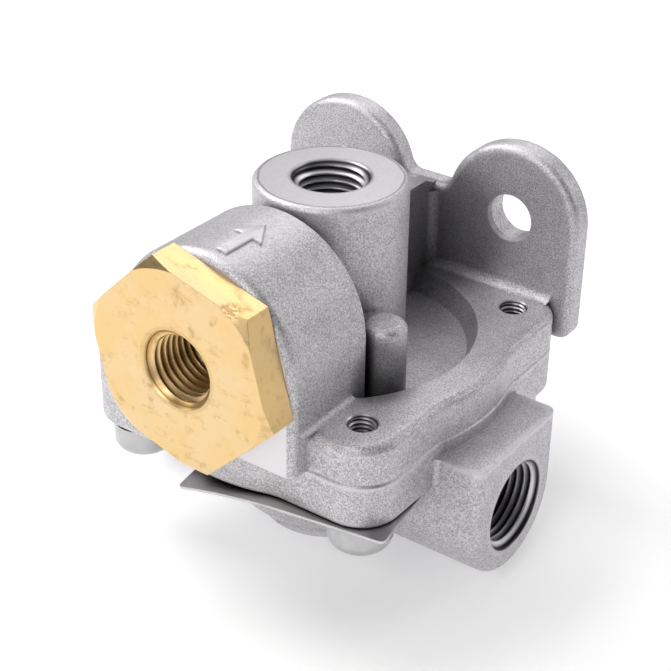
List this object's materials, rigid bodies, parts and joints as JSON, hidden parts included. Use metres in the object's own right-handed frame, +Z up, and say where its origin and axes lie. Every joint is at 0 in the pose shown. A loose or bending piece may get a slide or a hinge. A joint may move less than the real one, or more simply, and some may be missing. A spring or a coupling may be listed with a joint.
{
  "type": "quick exhaust valve",
  "caption": "Cast quick exhaust valve with a hexagonal brass supply cap nut, a balance tower, threaded side delivery ports, a bottom exhaust and an eared mounting bracket.",
  "frame": {"origin": "centre of the exhaust opening, on the flat bottom face of its boss", "axes": "+Z up the balance tower, -Y out through the supply cap nut, +Y to the mounting bracket, X through the delivery ports"},
  "size_m": [0.0826, 0.0786, 0.069],
  "materials": {
    "cast_alloy": "sand-textured casting, machined on sealing faces",
    "brass": "turned and milled",
    "zinc_plated_steel": "bright zinc plate",
    "tag_steel": "plain sheet",
    "spring_steel": "drawn wire and pressed sheet",
    "rubber": "moulded",
    "acetal": "moulded",
    "turned_alloy": "turned"
  },
  "bodies": {
    "valve": {"upper_body": "cast_alloy", "lower_body": "cast_alloy", "supply_cap_nut": "brass", "cap_nut_o_ring": "rubber", "shuttle_guide": "acetal", "body_o_ring": "rubber", "cover_screws": "zinc_plated_steel", "lock_washers": "zinc_plated_steel", "tag_plate": "tag_steel", "diaphragm_spring": "spring_steel"},
    "double_check": {"shuttle": "turned_alloy", "shuttle_seal_supply": "rubber", "shuttle_seal_balance": "rubber"},
    "diaphragm_stack": {"diaphragm": "rubber", "spring_seat": "spring_steel"}
  },
  "joints": [
    {"name": "shuttle_slide", "type": "slide", "parent": "valve", "child": "double_check", "axis": [0, 1, 0], "range_m": [0, 0.0032]},
    {"name": "diaphragm_lift", "type": "slide", "parent": "valve", "child": "diaphragm_stack", "axis": [0, 0, 1], "range_m": [-0.0009, 0], "stiffness_N_per_m": 750, "springref_m": 0.0037, "deforming": ["diaphragm_spring"]}
  ]
}
